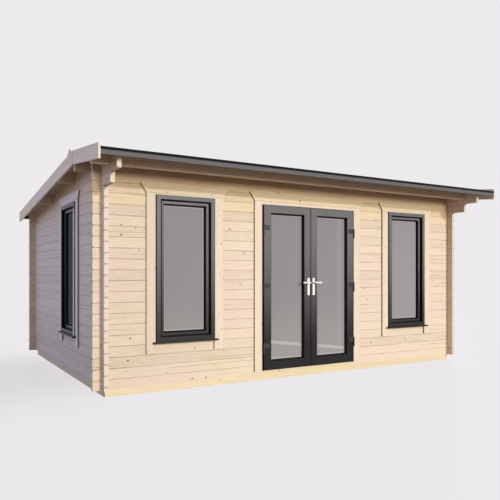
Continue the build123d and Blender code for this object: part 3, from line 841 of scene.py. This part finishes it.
def frame_strip(mesh, low, high, width, depth, outward, near_width=None):
    """Four mitred strips on the edge of an upright pane. The pane lies between two corners
    in the plane across the outward direction, and the strips stand out from it by a depth.
    The strip at the lower end along that plane can have a width of its own."""
    across = across_of(outward)
    wide, tall = (high - low).dot(across), (high - low).z
    near = width if near_width is None else near_width
    outer = [(0.0, 0.0), (wide, 0.0), (wide, tall), (0.0, tall)]
    inner = [(near, width), (wide - width, width), (wide - width, tall - width), (near, tall - width)]
    outer, inner = ([low + across * a + up * b for a, b in ring] for ring in (outer, inner))
    for k in range(4):
        following = (k + 1) % 4
        prism(mesh, [outer[k], outer[following], inner[following], inner[k]], outward * depth)


def add_pane_edges(name, node, body):
    """Black gasket where each pane meets its bar, and a grey spacer bar inside it."""
    gaskets, spacers = bmesh.new(), bmesh.new()
    for pane_low, pane_high in islands(node):
        low, high, outward = outer_face(pane_low, pane_high)
        frame_strip(gaskets, low, high, gasket_width, gasket_proud, outward)
        inset = (across_of(outward) + up) * (gasket_width + spacer_inset)
        frame_strip(spacers, low + inset, high - inset, spacer_width, spacer_proud, outward)
    finish_piece(name + "_gaskets", gaskets, "gasket", body)
    finish_piece(name + "_spacers", spacers, "spacer", body)


def add_sash_seals_and_shade():
    """Dark seal in the rebate between each window's frame and its sash, wider than the seal itself to
    paint the shade there too, widest on the near side.
    """
    mesh = bmesh.new()
    for sash_low, sash_high in islands("window_sashes"):
        low, high, outward = outer_face(sash_low, sash_high)
        frame_strip(mesh, low, high, seal_and_shade_width, seal_proud, outward, seal_and_shade_near_width)
    finish_piece("sash_seals", mesh, "gasket", "building")


def openings():
    """Corners of each window's frame and of the doors', and the direction each looks in."""
    frames = islands("window_frames") + [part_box("door_frame")]
    return [(low, high, outward_of(low, high)) for low, high in frames]


def trim_face(outward):
    """Offset along the outward direction of the front of the boards round the openings."""
    if outward == to_left:
        return Vector((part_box("window_trims")[0].x, 0.0, 0.0))
    return Vector((0.0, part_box("door_trim")[0].y, 0.0))


def add_gap_shade_lines():
    """Dark line of painted shade on the posts beside each front window's frame and the doors', where the
    gap between them lies in shade.
    """
    mesh = bmesh.new()
    for low, high, outward in openings():
        if outward == to_left:
            continue
        across = across_of(outward)
        rise = up * (high.z - low.z)
        for end, side in ((low, -1), (high, 1)):
            foot = across * end.dot(across) + up * low.z + trim_face(outward)
            corner = foot + across * side * gap_shade_width
            prism(mesh, [foot, corner, corner + rise, foot + rise], outward * gap_shade_proud)
    finish_piece("frame_gap_shade", mesh, "gap_shade", "building")


def add_nails():
    """Heads of the nails that hold the headers, a little above each opening's corners and
    the middle of the doors."""
    mesh = bmesh.new()
    for low, high, outward in openings():
        across = across_of(outward)
        start, end = low.dot(across), high.dot(across)
        places = [start + nail_inset, end - nail_edge]
        if end - start > double_door_least_width:
            places.append((start + end) / 2)
        for place in places:
            centre = across * place + trim_face(outward) + up * (high.z + nail_rise)
            outline = []
            for k in range(nail_sides):
                turn = 2 * math.pi * k / nail_sides
                outline.append(centre + across * nail_radius * math.cos(turn)
                               + up * (nail_radius * math.sin(turn)))
            prism(mesh, outline, outward * nail_proud)
    finish_piece("header_nails", mesh, "nail", "building")


def ground_distance(shader, x, y, place):
    """How far a point of the floor lies from a place on it."""
    squares = [shader.math("POWER", shader.minus(value, centre), 2.0)
               for value, centre in zip((x, y), place)]
    return shader.math("SQRT", shader.plus(*squares))


def add_floor():
    """Plain pale floor that fades into the background, a little darker in one patch of painted shadow."""
    bpy.ops.mesh.primitive_plane_add(size=floor_size)
    floor = bpy.context.object
    floor.name = "studio_floor"
    shader = Shader("studio_floor", roughness=0.3, specular=0.12)
    seen = shader.seen_by("Is Camera Ray", "Is Glossy Ray")
    shader.colour(shader.blend(seen, floor_bounce, floor_colour))
    x, y, z = shader.position()
    # Painted shadow: a darker patch beside the left wall
    away = ground_distance(shader, x, y, shadow_patch_middle)
    shade = shader.scaled(shader.ramp(away, *shadow_patch_fade), 1.0 - shadow_patch_least, shadow_patch_least)
    glow = shader.node("Emission", {"Color": (*background, 1.0), "Strength": shade})
    away = ground_distance(shader, x, y, part_middle)
    far = shader.scaled(shader.ramp(away, *floor_fade), 1.0 - floor_glow, floor_glow)
    mix = shader.node("MixShader", {0: shader.times(seen, far), 1: shader.surface.outputs[0],
                                    2: glow.outputs[0]})
    shader.fill(shader.tree.nodes["Material Output"].inputs["Surface"], mix.outputs[0])
    floor.data.materials.append(shader.material)


def add_lamp(name, direction, strength, softness, colour):
    """Distant lamp that shines from a direction."""
    light = bpy.data.lights.new(name, "SUN")
    light.energy = strength
    light.angle = math.radians(softness)
    light.color = colour
    lamp = bpy.data.objects.new(name, light)
    lamp.rotation_euler = Vector(direction).to_track_quat("Z", "Y").to_euler()
    bpy.context.scene.collection.objects.link(lamp)


def add_surround():
    """Even pale light from all round, and the plain background that the camera sees."""
    world = bpy.data.worlds.new("studio")
    bpy.context.scene.world = world
    world.use_nodes = True
    sky = Nodes(world.node_tree)
    sky.tree.nodes.clear()
    ambient = sky.node("Background", {0: (*ambient_colour, 1.0), 1: ambient_strength})
    shown = sky.node("Background", {0: (*background, 1.0)})
    seen = sky.seen_by("Is Camera Ray", "Is Glossy Ray", "Is Transmission Ray")
    mix = sky.node("MixShader", {0: seen, 1: ambient.outputs[0], 2: shown.outputs[0]})
    sky.node("OutputWorld", {0: mix.outputs[0]})


def add_camera():
    """Camera at the photograph's place, level and turned to the right of straight ahead."""
    camera = bpy.data.cameras.new("camera")
    camera.sensor_width = camera_sensor
    camera.lens = camera_lens
    camera.shift_y = camera_shift
    camera.clip_end = camera_reach
    holder = bpy.data.objects.new("camera", camera)
    holder.location = camera_place
    holder.rotation_euler = (math.radians(camera_tilt), 0.0, math.radians(camera_turn))
    bpy.context.scene.collection.objects.link(holder)
    bpy.context.scene.camera = holder


add_deck("roof_deck_front")
add_deck("roof_deck_rear")
add_floor_boards()
add_pane_edges("window", "window_glass", "building")
add_pane_edges("left_leaf", "door_glass_left", "left_door")
add_pane_edges("right_leaf", "door_glass_right", "right_door")
add_sash_seals_and_shade()
add_gap_shade_lines()
add_nails()
add_floor()
for lamp in lamps:
    add_lamp(**lamp)
add_surround()
add_camera()
bpy.context.scene.view_settings.view_transform = "Standard"
